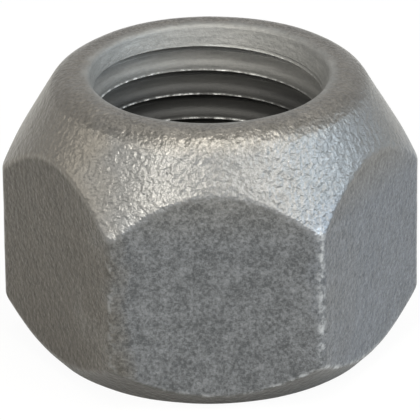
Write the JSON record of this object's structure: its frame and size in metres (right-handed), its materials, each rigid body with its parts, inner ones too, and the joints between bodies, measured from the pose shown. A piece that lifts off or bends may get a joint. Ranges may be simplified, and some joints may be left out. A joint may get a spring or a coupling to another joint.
{
  "type": "lug nut",
  "caption": "Hexagon wheel nut, open at both ends, with a conical seat, a countersunk threaded bore and corners chamfered towards a round end face.",
  "frame": {"origin": "centre of the flat end face, on the thread's axis, at the plane the nut stands on", "axes": "+Z along the thread's axis, out of the conical seat end; one wrench flat faces -Y"},
  "size_m": [0.0194, 0.017, 0.0134],
  "materials": {
    "galvanised_steel": "grainy dull silver zinc coating over forged steel, threads cut bare and darker"
  },
  "bodies": {
    "root": {"lug_nut": "galvanised_steel"}
  },
  "joints": []
}
